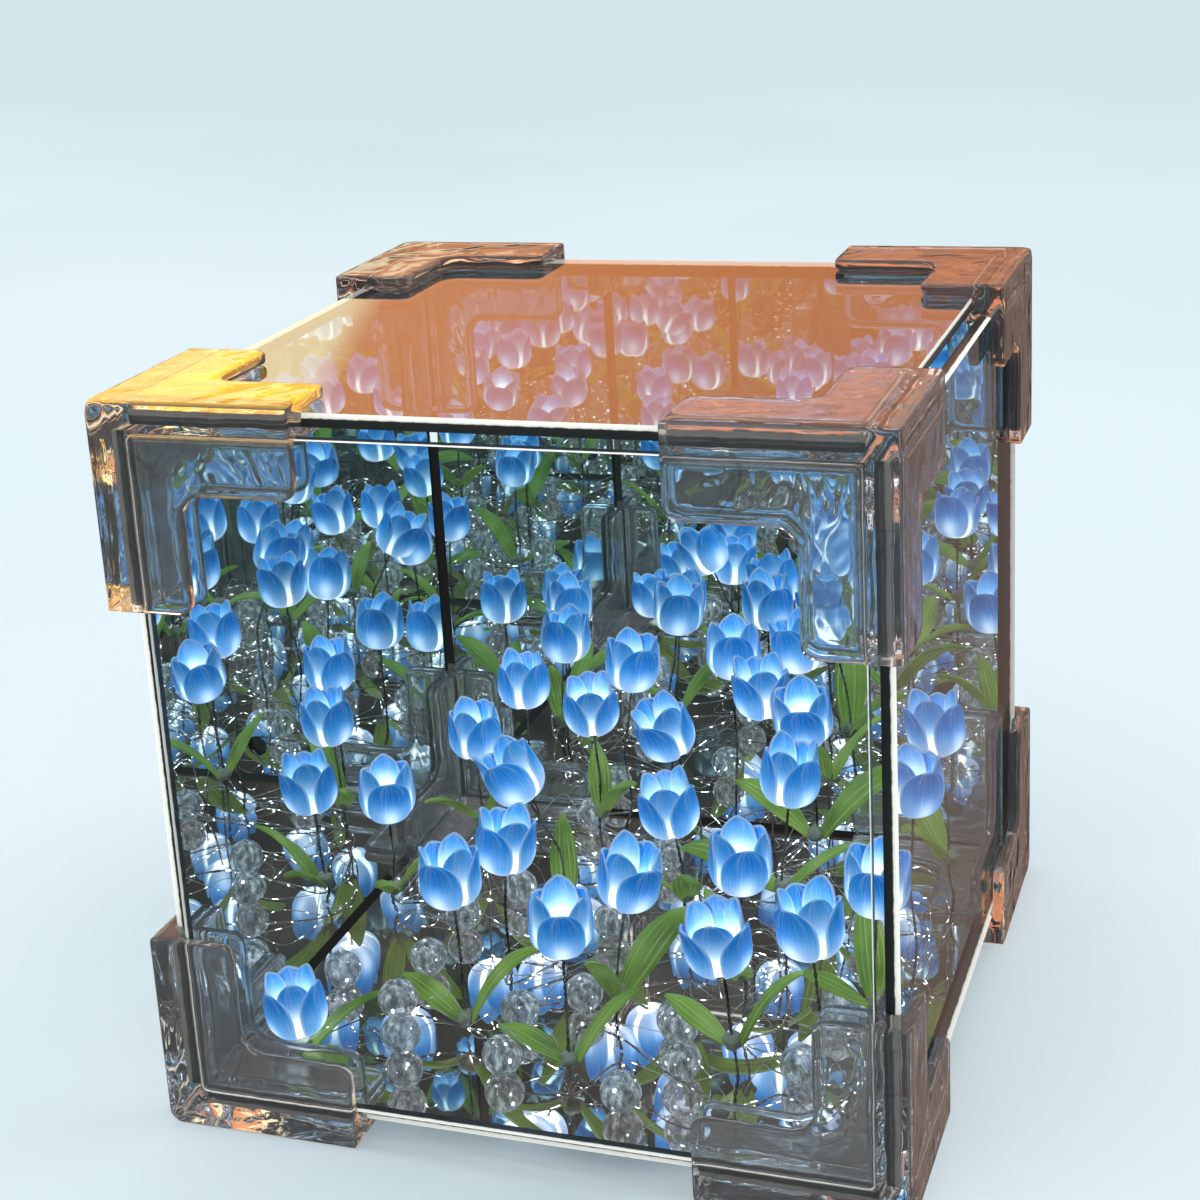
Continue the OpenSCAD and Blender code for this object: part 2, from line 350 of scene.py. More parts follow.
# Each panel's axis, and the side of the cube that it is on.
PANELS = {
    "front_panel": (1, -1), "back_panel": (1, 1), "left_panel": (0, -1),
    "right_panel": (0, 1), "bottom_panel": (2, -1), "top_panel": (2, 1),
}


def film_material(name, mirror_tint, inside_share, painted_glow_colour):
    """One-way film: a mirror from inside the cube with a faint painted glow, clear from outside it.
    """
    material, shader = new_material(name)
    place = shader.add("ShaderNodeTexCoord").outputs["Object"]
    cloud = shader.noise(shader.stretched(place, (60, 60, 60)), 1.0, 1.0)
    mirror = shader.add("ShaderNodeBsdfGlossy", Color=mirror_tint, Roughness=0.012).outputs[0]
    # Painted light: the film gives off a faint glow of the given colour, in soft clouds, though it is
    # no lamp.
    painted_glow = shader.add(
        "ShaderNodeEmission", Color=painted_glow_colour, Strength=shader.rescale(cloud, 0.3, 0.7, 0.5, 1.5)
    ).outputs[0]
    mirror_and_glow = shader.add("ShaderNodeAddShader")
    for socket, part in zip(mirror_and_glow.inputs, (mirror, painted_glow)):
        shader.feed(socket, part)

    dark = shader.add("ShaderNodeBsdfTransparent", Color=(0.10, 0.12, 0.12)).outputs[0]
    from_inside = shader.mix_shader(inside_share, dark, mirror_and_glow.outputs[0])
    clear = shader.add("ShaderNodeBsdfTransparent", Color=(0.94, 0.97, 0.97)).outputs[0]
    side = shader.add("ShaderNodeNewGeometry").outputs["Backfacing"]
    both = shader.mix_shader(side, from_inside, clear)
    shader.finish(let_light_through(shader, both, (0.88, 0.90, 0.91)))
    material.cycles.emission_sampling = "NONE"
    return material


def face_material(name, square_on, slanting):
    """The polished outer face with faint wiping marks; its gloss grows at a slant."""
    material, shader = new_material(name)
    place = shader.add("ShaderNodeTexCoord").outputs["Object"]
    marks = shader.noise(shader.stretched(place, (180, 180, 30)), 1.0, 0.0)
    rough = shader.rescale(marks, 0.35, 0.75, 0.004, 0.04)
    gloss = shader.add("ShaderNodeBsdfGlossy", Color=(1.0, 0.98, 0.97), Roughness=rough)
    clear = shader.add("ShaderNodeBsdfTransparent", Color=(0.98, 0.99, 0.99))
    slant = shader.add("ShaderNodeLayerWeight", Blend=0.5).outputs["Facing"]
    share = shader.rescale(slant, 0.15, 0.78, square_on, slanting)
    outside = shader.math(
        "SUBTRACT", 1.0, shader.add("ShaderNodeNewGeometry").outputs["Backfacing"]
    )
    share = shader.math("MULTIPLY", share, outside)
    both = shader.mix_shader(share, clear.outputs[0], gloss.outputs[0])
    shader.finish(let_light_through(shader, both, (0.97, 0.98, 0.98)))
    return material


def edge_material(name, axis, inner, outer):
    """A sawn edge: painted highlight near the outer face, painted shade beside the film, in mirrors
    and through brackets.
    """
    material, shader = new_material(name)
    place = shader.add("ShaderNodeTexCoord").outputs["Object"]
    depth = shader.add("ShaderNodeSeparateXYZ", Vector=place).outputs[axis]
    share = shader.rescale(depth, inner, outer)
    band_wobble = shader.noise(shader.stretched(place, (700, 700, 700)), 1.0, 3.0)
    wavy = shader.math("ADD", share, shader.math("MULTIPLY", band_wobble, 0.16))
    # Painted light: a dark band of painted shade beside the film, and a pale band near the outer face
    # as a painted highlight that also glows.
    shade = shader.ramp(
        wavy,
        [(0.0, (0.010, 0.013, 0.013)), (0.66, (0.02, 0.022, 0.022)),
         (0.74, (0.74, 0.71, 0.63)), (1.0, (0.88, 0.86, 0.80))],
    )
    glow = shader.ramp(wavy, [(0.0, 0.0), (0.68, 0.0), (0.78, 1.0)])
    surface = shader.add(
        "ShaderNodeBsdfPrincipled", Base_Color=shade, Roughness=0.28,
        Emission_Color=(1.0, 0.95, 0.84),
        Emission_Strength=shader.math("MULTIPLY", glow, 0.20),
    )
    # Painted shade: seen through more than one clear sheet or through a bracket, the edge turns near
    # black.
    painted_seam_shade = shader.add("ShaderNodeBsdfDiffuse", Color=(0.012, 0.014, 0.014))
    path = shader.add("ShaderNodeLightPath").outputs
    within = shader.math("GREATER_THAN", path["Transparent Depth"], 1.5)
    through_plastic = shader.math("MULTIPLY", path["Is Transmission Ray"], 0.8)
    painted_shade_share = shader.math("MAXIMUM", within, through_plastic)
    shader.finish(shader.mix_shader(painted_shade_share, surface.outputs[0], painted_seam_shade.outputs[0]))
    material.cycles.emission_sampling = "NONE"
    return material


def panel_slot(outwards):
    """The slot of a panel's face: 0 for the edges, 1 for outside and 2 for the film."""
    if outwards > 0.9:
        return 1
    return 2 if outwards < -0.9 else 0


def dress_panels():
    """A polished face outside, film inside and sawn edges, on all six panels."""
    # Each mirror tint comes with the colour of the film's painted glow; the floor film's painted glow
    # is warmer and stronger.
    cool, cool_glow = (0.84, 0.92, 0.915), (0.002, 0.004, 0.004)
    warm, warm_glow = (0.86, 0.82, 0.80), (0.040, 0.030, 0.026)
    wall_face = face_material("face_wall", 0.03, 0.26)
    wall_film = film_material("film_wall", cool, 0.94, cool_glow)
    floor_film = film_material("film_floor", warm, 0.94, warm_glow)
    top_face = face_material("face_top", 0.04, 0.47)
    top_film = film_material("film_top", cool, 0.90, cool_glow)
    coats = {"bottom_panel": (wall_face, floor_film), "top_panel": (top_face, top_film)}
    for name, (axis, side) in PANELS.items():
        node = NODES[name]
        low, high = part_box(name)
        inner, outer = (low[axis], high[axis])[::side]
        edge = edge_material("edge_" + name, axis, inner, outer)
        face, film = coats.get(name, (wall_face, wall_film))
        node.data.materials.clear()
        for material in (edge, face, film):
            node.data.materials.append(material)
        for polygon in node.data.polygons:
            polygon.material_index = panel_slot(polygon.normal[axis] * side)
            polygon.use_smooth = False


# ---------------------------------------------------------------- brackets

# Painted reflections of a warm room on each bracket's top, front and side faces, and the strength of
# the painted glow on its top.
BRACKET_PAINTED_CASTS = {
    "bracket_top_front_left": ((1.0, 0.55, 0.06), (0.97, 0.99, 1.0), (0.80, 0.66, 0.60), 0.45),
    "bracket_top_front_right": ((0.86, 0.76, 0.76), (0.97, 0.99, 1.0), (0.80, 0.72, 0.73), 0.03),
    "bracket_top_back_left": ((0.82, 0.60, 0.52), (0.80, 0.66, 0.62), (0.74, 0.60, 0.56), 0.04),
    "bracket_top_back_right": ((0.80, 0.56, 0.50), (0.84, 0.72, 0.70), (0.72, 0.58, 0.56), 0.04),
    "bracket_bottom_front_left": ((0.90, 0.91, 0.91), (0.98, 0.99, 1.0), (0.84, 0.82, 0.82), 0.0),
    "bracket_bottom_front_right": ((0.90, 0.91, 0.90), (0.98, 0.99, 1.0), (0.84, 0.83, 0.82), 0.0),
    "bracket_bottom_back_left": ((0.88, 0.88, 0.88), (0.90, 0.92, 0.92), (0.78, 0.77, 0.77), 0.0),
    "bracket_bottom_back_right": ((0.84, 0.78, 0.76), (0.88, 0.88, 0.88), (0.78, 0.70, 0.69), 0.0),
}


def crinkles(shader, place, scale):
    """The unevenness of the moulded skin."""
    return shader.add(
        "ShaderNodeTexNoise", Vector=shader.stretched(place, (scale, scale, 0.8 * scale)),
        Scale=1.0, Detail=0.6, Distortion=0.9,
    ).outputs[0]


def crinkle_line(shader, height, level):
    """A thin line that follows one contour of the crinkles."""
    off = shader.math("ABSOLUTE", shader.math("SUBTRACT", height, level))
    return shader.rescale(off, 0.003, 0.010, 1.0, 0.0)


def outer_skin(shader, place):
    """1 where a bracket shows its outside, and 0 in its slots, which are nearer the centre."""
    level = shader.add("ShaderNodeMapping", Vector=place, Location=(0, 0, -CUBE_CENTRE.z))
    from_centre = shader.add(
        "ShaderNodeVectorMath", {"operation": "ABSOLUTE"}, Vector=level.outputs[0]
    )
    reach = shader.add("ShaderNodeSeparateXYZ", Vector=from_centre.outputs[0]).outputs
    farthest = shader.math("MAXIMUM", shader.math("MAXIMUM", reach[0], reach[1]), reach[2])
    return shader.rescale(farthest, PANEL_INNER, PANEL_OUTER)


def bracket_material(name, top, front, side, painted_light):
    """Clear moulded plastic with crinkled skin, with painted reflections, painted dark lines and
    rims, and a painted glow on top.
    """
    material, shader = new_material(name)
    spots = shader.add("ShaderNodeTexCoord").outputs
    place = spots["Object"]
    facing = shader.add("ShaderNodeSeparateXYZ", Vector=spots["Normal"]).outputs
    # Painted reflection: by which way a face looks, the outer skin takes the top, front or side
    # colour, amber or brown as from a warm room; the slots stay near clear.
    frontal = shader.rescale(shader.math("MULTIPLY", facing[1], -1.0), 0.5, 0.85)
    upward = shader.rescale(facing[2], 0.45, 0.85)
    tint = shader.mix_colour(frontal, side, front)
    tint = shader.mix_colour(upward, tint, top)
    outer = outer_skin(shader, place)
    tint = shader.mix_colour(outer, (0.97, 0.985, 0.985), tint)
    # Painted reflection: brown streaks across the outer skin.
    streak = shader.noise(shader.stretched(place, (130, 520, 520)), 1.0, 1.0)
    painted_streaks = shader.math("MULTIPLY", outer, shader.rescale(streak, 0.42, 0.66, 0.0, 0.28))
    tint = shader.mix_colour(painted_streaks, tint, (0.70, 0.50, 0.42), "MULTIPLY")
    # Painted shade: dark lines along one contour of the crinkles, and a dark rim where a face is seen
    # at a slant.
    painted_dark_line = crinkle_line(shader, crinkles(shader, place, 70), 0.50)
    tint = shader.mix_colour(shader.math("MULTIPLY", painted_dark_line, 0.3), tint, (0.03, 0.035, 0.04))
    grazing = shader.add("ShaderNodeLayerWeight", Blend=0.5).outputs["Facing"]
    rim = shader.rescale(grazing, 0.76, 0.93, 0.0, 0.8)
    tint = shader.mix_colour(rim, tint, (0.05, 0.045, 0.045))
    skin = shader.bump(crinkles(shader, place, 130), 0.38, 1.3 * MM)
    # Painted light: the top faces give off a glow in their top colour.
    top_light = shader.math("MULTIPLY", upward, shader.math("MULTIPLY", outer, painted_light))
    body = shader.add(
        "ShaderNodeBsdfPrincipled", Base_Color=tint, Roughness=0.02, IOR=1.42,
        Transmission_Weight=0.965, Normal=skin,
        Emission_Color=top, Emission_Strength=top_light,
    )
    shader.finish(let_light_through(shader, body.outputs[0], (0.90, 0.90, 0.90)))
    material.cycles.emission_sampling = "NONE"
    return material


def dress_brackets():
    """Rounded edges and clear plastic on all eight brackets."""
    for name, tints in BRACKET_PAINTED_CASTS.items():
        node = NODES[name]
        remesh = node.modifiers.new("even_skin", "REMESH")
        remesh.mode = "VOXEL"
        remesh.voxel_size = SKIN_VOXEL
        remesh.use_smooth_shade = True
        smooth = node.modifiers.new("moulded_edges", "SMOOTH")
        smooth.factor = 0.5
        smooth.iterations = 6
        node.data.materials.clear()
        node.data.materials.append(bracket_material("clear_" + name, *tints))


# ---------------------------------------------------------------- mesh helpers

class Shape:
    """Points, faces and UVs of one piece."""

    def __init__(self):
        self.points = []
        self.faces = []
        self.uvs = []
        self.coats = {}

    def grid(self, rows, columns, at, closed=False, coat=0):
        """A sheet of rows by columns points, where at(v, u) gives a point for 0..1."""
        first = len(self.points)
        width = columns if closed else columns + 1
        for r in range(rows + 1):
            for c in range(width):
                self.points.append(at(r / rows, c / columns))
        for r in range(rows):
            for c in range(columns):
                d = (c + 1) % width
                a = first + r * width
                self.coats[len(self.faces)] = coat
                self.faces.append((a + c, a + d, a + width + d, a + width + c))
                self.uvs.append([
                    (c / columns, r / rows), ((c + 1) / columns, r / rows),
                    ((c + 1) / columns, (r + 1) / rows), (c / columns, (r + 1) / rows),
                ])

    def tube(self, path, radius, sides=6):
        """A round tube along the path, closed at both ends."""
        first = len(self.points)
        side = Vector((0.31, 0.83, 0.46))
        last = len(path) - 1
        for i, centre in enumerate(path):
            along = (path[min(i + 1, last)] - path[max(i - 1, 0)]).normalized()
            side = (side - along * side.dot(along)).normalized()
            other = along.cross(side)
            for k in range(sides):
                turn = 2 * math.pi * k / sides
                out = math.cos(turn) * side + math.sin(turn) * other
                self.points.append(centre + radius * out)
        for i in range(last):
            for k in range(sides):
                a = first + i * sides + k
                b = first + i * sides + (k + 1) % sides
                self.faces.append((a, b, b + sides, a + sides))
                self.uvs.append([(k / sides, i / last)] * 4)
        self.faces.append(tuple(first + k for k in reversed(range(sides))))
        self.uvs.append([(0, 0)] * sides)
        self.faces.append(tuple(first + last * sides + k for k in range(sides)))
        self.uvs.append([(0, 1)] * sides)

    def ball(self, centre, radius, rings=14, sides=20, wobble=0.0, seed=0.0, squash=1.0):
        """A closed round form, roughened by wobble times its radius."""
        def at(v, u):
            polar = math.pi * min(max(v, 0.004), 0.996)
            turn = 2 * math.pi * u
            out = Vector((
                math.sin(polar) * math.cos(turn), math.sin(polar) * math.sin(turn),
                -math.cos(polar),
            ))
            bulge = 1 + wobble * field.noise(out * 1.7 + Vector((seed, seed, seed)))
            return centre + Vector((out.x, out.y, out.z * squash)) * radius * bulge
        first = len(self.points)
        self.grid(rings, sides, at, closed=True)
        self.faces.append(tuple(first + k for k in reversed(range(sides))))
        self.uvs.append([(0, 0)] * sides)
        top = first + rings * sides
        self.faces.append(tuple(top + k for k in range(sides)))
        self.uvs.append([(0, 1)] * sides)

    def make(self, name, materials, node):
        """The finished object, which rides on the node's body and stands for the node."""
        mesh = bpy.data.meshes.new(name)
        mesh.from_pydata(self.points, [], self.faces)
        layer = mesh.uv_layers.new(name="UVMap")
        flat = [value for face in self.uvs for uv in face for value in uv]
        layer.data.foreach_set("uv", flat)
        for material in materials:
            mesh.materials.append(material)
        mesh.polygons.foreach_set("use_smooth", [True] * len(mesh.polygons))
        for index, coat in self.coats.items():
            mesh.polygons[index].material_index = coat
        mesh.update()
        piece = bpy.data.objects.new(name, mesh)
        bpy.context.scene.collection.objects.link(piece)
        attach(piece, BODY_OF[node])
        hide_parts(node)
        return piece


def thicken(piece, thickness):
    """Gives a sheet its thickness and soft edges."""
    solid = piece.modifiers.new("wall", "SOLIDIFY")
    solid.thickness = thickness
    solid.offset = 0
    rounded = piece.modifiers.new("rounding", "SUBSURF")
    rounded.levels = 1
    rounded.render_levels = 1


def spline(points, steps):
    """A smooth path through the points."""
    ends = [2 * points[0] - points[1]] + points + [2 * points[-1] - points[-2]]
    path = []
    for a, b, c, d in zip(ends, ends[1:], ends[2:], ends[3:]):
        for k in range(steps):
            t = k / steps
            path.append(0.5 * (
                2 * b + (c - a) * t + (2 * a - 5 * b + 4 * c - d) * t ** 2
                + (3 * b - a - 3 * c + d) * t ** 3
            ))
    return path + [points[-1]]


# ---------------------------------------------------------------- tulips

def cup_frame(i):
    """Base, axis and turn of tulip i. The box of the CAD cup gives its middle."""
    right, front = (math.radians(a) for a in LEANS[i])
    turn = Euler((front, right, 0), "XYZ").to_matrix()
    low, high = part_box(f"tulip_{i + 1:02d}")
    axis = turn @ Vector((0, 0, 1))
    base = (low + high) / 2 - axis * CUP_HEIGHT / 2
    return base, axis, turn


def stem_points(i):
    """Foot, knee and cup base of stem i."""
    base, axis, _ = cup_frame(i)
    knee = base - axis * STEM_KNEE_SHARE * (base.z - FLOOR_TOP)
    return Vector((knee.x, knee.y, FLOOR_TOP)), knee, base


def petal_point(v, u, radius, height, half_angle, flare, lobe):
    """A point of a petal: v runs from the base to the tip and u from edge to edge."""
    waist = 0.40
    waist_z = 0.38 * height
    across = 2 * u - 1
    if v < waist:
        sweep = v / waist * math.pi / 2
        r = CUP_NECK + (radius - CUP_NECK) * math.sin(sweep) ** 0.9
        z = waist_z * (1 - math.cos(sweep))
        share = 0.74 + 0.26 * math.sin(sweep)
    else:
        rise = (v - waist) / (1 - waist)
        r = radius * (1 - (0.13 - flare) * rise ** 2)
        z = waist_z + (height - waist_z) * rise
        share = max(0.0, 1 - rise ** 2.8) ** 0.5
    bulge = lobe * (1 - across ** 2) * min(1.0, 2 * v)
    groove = 0.02 * math.exp(-(across / 0.16) ** 2)
    r *= 1 + bulge - groove
    angle = half_angle * share * across
    notch = 0.02 * height * across ** 2 * v
    return Vector((r * math.cos(angle), r * math.sin(angle), z - notch))


def painted_lamp_spot(shader, from_middle, along):
    """A soft round spot of painted glow, 1 in its middle, where the light stands behind a petal."""
    side = shader.math("MULTIPLY", from_middle, 5.5)
    up = shader.math("MULTIPLY", shader.math("SUBTRACT", along, 0.30), 5.0)
    away = shader.math(
        "ADD", shader.math("MULTIPLY", side, side), shader.math("MULTIPLY", up, up)
    )
    return shader.math("POWER", 2.718, shader.math("MULTIPLY", away, -1.0))


def petal_material(name, body_stops, glow_low, glow_spot):
    """Moulded petal: pale at the base, blue at the tip, fine pale veins, with a painted glow of the
    light within.
    """
    material, shader = new_material(name)
    uv = shader.add("ShaderNodeTexCoord").outputs["UV"]
    across, along = shader.add("ShaderNodeSeparateXYZ", Vector=uv).outputs[:2]
    place = shader.add("ShaderNodeTexCoord").outputs["Object"]
    blotch = shader.noise(shader.stretched(place, (260, 260, 260)), 1.0, 0.0)
    drift = shader.math("MULTIPLY", shader.math("SUBTRACT", blotch, 0.5), 0.34)
    body = shader.ramp(shader.math("ADD", along, drift), body_stops)
    streak = shader.noise(shader.stretched(uv, (30, 1.6, 1)), 1.0, 1.0)
    vein = shader.rescale(streak, 0.52, 0.66, 0.0, 0.45)
    veined = shader.mix_colour(vein, body, (0.55, 0.78, 1.0))
    from_middle = shader.math("ABSOLUTE", shader.math("SUBTRACT", across, 0.5))
    rim = shader.math(
        "MAXIMUM", shader.rescale(from_middle, 0.435, 0.49), shader.rescale(along, 0.955, 0.99)
    )
    colour = shader.mix_colour(shader.math("MULTIPLY", rim, 0.8), veined, (0.78, 0.90, 1.0))
    # Painted light: the petal gives off light, strongly at its base, fading towards the tip, and
    # whitened in a spot where the light stands behind it.
    spot = painted_lamp_spot(shader, from_middle, along)
    fade = shader.math("POWER", shader.math("SUBTRACT", 1.0, along, clamp=True), 1.7)
    glow = shader.math(
        "ADD", shader.math("MULTIPLY", fade, glow_low), shader.math("MULTIPLY", spot, glow_spot)
    )
    glow = shader.math("ADD", glow, shader.rescale(along, 0.04, 0.10, 3.0, 0.14))
    painted_lamplight = shader.mix_colour(shader.math("MULTIPLY", spot, 0.8), colour, (1.0, 1.0, 1.0))
    surface = shader.add(
        "ShaderNodeBsdfPrincipled", Base_Color=colour, Roughness=0.22,
        Emission_Color=painted_lamplight, Emission_Strength=glow,
    )
    through = shader.add("ShaderNodeBsdfTranslucent", Color=colour)
    shader.finish(shader.mix_shader(0.30, surface.outputs[0], through.outputs[0]))
    material.cycles.emission_sampling = "NONE"
    return material


def make_tulips():
    """Three wide petals and three taller ones inside them, round each CAD cup's axis."""
    outer_coat = petal_material(
        "petal_outer",
        [
            (0.0, (0.84, 0.84, 0.97)), (0.18, (0.58, 0.74, 0.98)), (0.42, (0.20, 0.58, 0.98)),
            (0.66, (0.055, 0.46, 0.96)), (0.86, (0.018, 0.36, 0.92)), (1.0, (0.035, 0.42, 0.95)),
        ],
        0.62, 0.70,
    )
    inner_coat = petal_material(
        "petal_inner",
        [
            (0.0, (0.95, 0.96, 1.0)), (0.30, (0.88, 0.93, 1.0)), (0.52, (0.54, 0.76, 0.98)),
            (0.76, (0.14, 0.54, 0.97)), (0.92, (0.045, 0.42, 0.94)), (1.0, (0.08, 0.48, 0.95)),
        ],
        1.0, 1.0,
    )
    for i in range(len(LEANS)):
        draw = random.Random(100 + i)
        base, _, turn = cup_frame(i)
        spin = math.radians(25 * i)
        openness = draw.uniform(-0.02, 0.10)
        shape = Shape()
        layers = [
            (0, 0.0, CUP_RADIUS, CUP_HEIGHT * 0.86, math.radians(55), openness + 0.02, 0.05),
            (1, 60.0, CUP_RADIUS * 0.86, CUP_HEIGHT, math.radians(52), openness, 0.03),
        ]
        for coat, offset, radius, height, half_angle, flare, lobe in layers:
            for k in range(3):
                heading = Matrix.Rotation(spin + math.radians(offset + 120 * k), 3, "Z")
                tall = height * draw.uniform(0.95, 1.03)
                wide = half_angle * draw.uniform(0.93, 1.05)
                bend = flare + draw.uniform(-0.05, 0.08)

                def at(v, u):
                    point = petal_point(min(v, 0.998), u, radius, tall, wide, bend, lobe)
                    return base + turn @ (heading @ point)

                shape.grid(13, 10, at, coat=coat)
        name = f"tulip_{i + 1:02d}"
        piece = shape.make(name + "_petals", [outer_coat, inner_coat], name)
        thicken(piece, PETAL_THICKNESS)


# ---------------------------------------------------------------- leaves

def leaf_material():
    """Moulded leaf: olive to fresh green, with pale ribs along the blade and a faint painted glow."""
    material, shader = new_material("leaf_green")
    uv = shader.add("ShaderNodeTexCoord").outputs["UV"]
    across, along = shader.add("ShaderNodeSeparateXYZ", Vector=uv).outputs[:2]
    place = shader.add("ShaderNodeTexCoord").outputs["Object"]
    blotch = shader.noise(shader.stretched(place, (150, 150, 150)), 1.0, 1.0)
    body = shader.ramp(
        blotch, [(0.25, (0.15, 0.27, 0.05)), (0.5, (0.27, 0.46, 0.09)), (0.8, (0.46, 0.62, 0.20))]
    )
    ribs = shader.math("SINE", shader.math("MULTIPLY", across, 2 * math.pi * 6))
    broken = shader.noise(shader.stretched(uv, (14, 3, 1)), 1.0, 0.0)
    rib = shader.math(
        "MULTIPLY", shader.rescale(ribs, 0.45, 1.0), shader.rescale(broken, 0.35, 0.62)
    )
    colour = shader.mix_colour(shader.math("MULTIPLY", rib, 0.65), body, (0.62, 0.70, 0.30))
    normal = shader.bump(ribs, 0.35, 0.00015)
    # Painted light: the leaf gives off a faint glow in its own colour, though it is no lamp.
    surface = shader.add(
        "ShaderNodeBsdfPrincipled", Base_Color=colour, Roughness=0.30, Normal=normal,
        Emission_Color=colour, Emission_Strength=0.24,
    )
    through = shader.add("ShaderNodeBsdfTranslucent", Color=colour)
    shader.finish(shader.mix_shader(0.35, surface.outputs[0], through.outputs[0]))
    return material


def hub_material():
    """Rough greyish plastic of the ring that grips a stem."""
    material, shader = new_material("leaf_ring")
    place = shader.add("ShaderNodeTexCoord").outputs["Object"]
    cloud = shader.noise(shader.stretched(place, (900, 900, 900)), 1.0, 3.0)
    colour = shader.mix_colour(cloud, (0.16, 0.20, 0.11), (0.42, 0.45, 0.36))
    shader.finish(shader.add(
        "ShaderNodeBsdfPrincipled", Base_Color=colour, Roughness=0.35,
        Normal=shader.bump(cloud, 0.5, 0.0003),
    ).outputs[0])
    return material


def blade_point(v, u, length, width, twist, fold):
    """A point of a leaf blade that rises from its root and bends outwards."""
    droop = 1 + 0.5 * v * v
    angle = v * length / LEAF_BEND * droop
    bend = LEAF_BEND / droop
    spine = Vector((0, LEAF_ROOT + bend * (1 - math.cos(angle)), bend * math.sin(angle)))
    out = Vector((0, math.cos(angle), -math.sin(angle)))
    across = 2 * u - 1
    half = 0.5 * width * (math.sin(math.pi * min(0.985, 0.10 + 0.90 * v)) ** 0.75)
    lean = twist * v
    side = Vector((math.cos(lean), 0, 0)) + out * math.sin(lean)
    wave = 0.18 * MM * math.sin(5 * v + 2 * across)
    return spine + side * across * half + out * (fold * half * across * across + wave)


def make_leaves():
    """Two blades and a ring for each set of leaves."""
    material = leaf_material()
    ring = hub_material()
    for i, (flower, height, *blades) in enumerate(LEAVES):
        draw = random.Random(300 + i)
        foot = stem_points(flower)[0]
        centre = Vector((foot.x, foot.y, height * MM))
        shape = Shape()
        for turn, length, lean in blades:
            heading = Euler((-math.radians(lean), 0, 0)).to_matrix()
            heading = Matrix.Rotation(math.radians(turn), 3, "Z") @ heading
            width = length * MM * draw.uniform(0.29, 0.35)
            twist = draw.uniform(-0.6, 0.6)
            fold = draw.uniform(0.25, 0.6)

            def at(v, u):
                point = blade_point(v, u, length * MM, width, twist, fold)
                return centre + heading @ point

            shape.grid(22, 8, at)
        name = f"leaves_{i + 1:02d}"
        piece = shape.make(name + "_blades", [material], name)
        thicken(piece, BLADE_THICKNESS)
        knot = Shape()
        knot.ball(centre, RING_RADIUS, wobble=0.35, seed=7.0 * i, squash=0.85)
        knot.make(name + "_ring", [ring], name)


# ---------------------------------------------------------------- lights, wires and beads

def wire_material(name, dark, bright, painted_glint_strength=0.0):
    """Worn metal wire, with painted glints: small spots along it that give off light."""
    material, shader = new_material(name)
    place = shader.add("ShaderNodeTexCoord").outputs["Object"]
    worn = shader.noise(shader.stretched(place, (500, 500, 200)), 1.0, 3.0)
    colour = shader.ramp(worn, [(0.35, dark), (0.65, bright)])
    # Painted light: where the noise peaks, the wire gives off bright glints.
    spots = shader.noise(shader.stretched(place, (1000, 1000, 1000)), 1.0, 0.0)
    painted_glint = shader.rescale(spots, 0.69, 0.74, 0.0, painted_glint_strength)
    shader.finish(shader.add(
        "ShaderNodeBsdfPrincipled", Base_Color=colour, Roughness=0.3, Metallic=0.6,
        Emission_Color=(0.92, 0.97, 1.0), Emission_Strength=painted_glint,
    ).outputs[0])
    material.cycles.emission_sampling = "NONE"
    return material


def twisted_pair(shape, path, spread, radius, pitch, phase):
    """Two thin wires wound round each other along the path."""
    for strand in (0, 1):
        side = Vector((0.3, 0.9, 0.2))
        run = 0.0
        points = []
        for i, centre in enumerate(path):
            along = (path[min(i + 1, len(path) - 1)] - path[max(i - 1, 0)]).normalized()
            side = (side - along * side.dot(along)).normalized()
            run += (centre - path[max(i - 1, 0)]).length
            turn = phase + strand * math.pi + 2 * math.pi * run / pitch
            offset = math.cos(turn) * side + math.sin(turn) * along.cross(side)
            points.append(centre + spread * offset)
        shape.tube(points, radius, 5)


def bulb_material():
    """The frosted lens of a light."""
    material, shader = new_material("light_lens")
    place = shader.add("ShaderNodeTexCoord").outputs["Object"]
    cloud = shader.noise(shader.stretched(place, (800, 800, 800)), 1.0, 2.0)
    glow = shader.rescale(cloud, 0.3, 0.7, 5.0, 9.0)
    shader.finish(shader.add(
        "ShaderNodeBsdfPrincipled", Base_Color=(0.9, 0.92, 1.0), Roughness=0.2,
        Emission_Color=(0.86, 0.93, 1.0), Emission_Strength=glow,
    ).outputs[0])
    material.cycles.emission_sampling = "NONE"
    return material


def make_stems():
    """A twisted pair of wires up each stem, and the light that it carries."""
    shape = Shape()
    bulbs = Shape()
    for i in range(len(LEANS)):
        draw = random.Random(500 + i)
        foot, knee, base = stem_points(i)
        axis = cup_frame(i)[1]
        bulb = base + axis * BULB_RISE
        sway = [Vector((draw.uniform(-1, 1), draw.uniform(-1, 1), 0)) * 0.7 * MM for _ in range(3)]
        above_floor = foot + Vector((0, 0, 0.3 * MM))
        middle = (foot + knee) / 2
        points = [above_floor, (foot + middle) / 2 + sway[0], middle + sway[1]]
        points += [knee + sway[2] * 0.5, (knee + base) / 2, base, bulb]
        phase = draw.uniform(0, 6)
        twisted_pair(shape, spline(points, 9), 0.16 * MM, 0.13 * MM, 2.6 * MM, phase)
        bulbs.ball(bulb, BULB_RADIUS, squash=1.15)
    enamel = wire_material("stem_enamel", (0.03, 0.025, 0.02), (0.30, 0.27, 0.24))
    shape.make("stem_wire_pairs", [enamel], "stem_wires")
    bulbs.make("light_lenses", [bulb_material()], "led_bulbs")


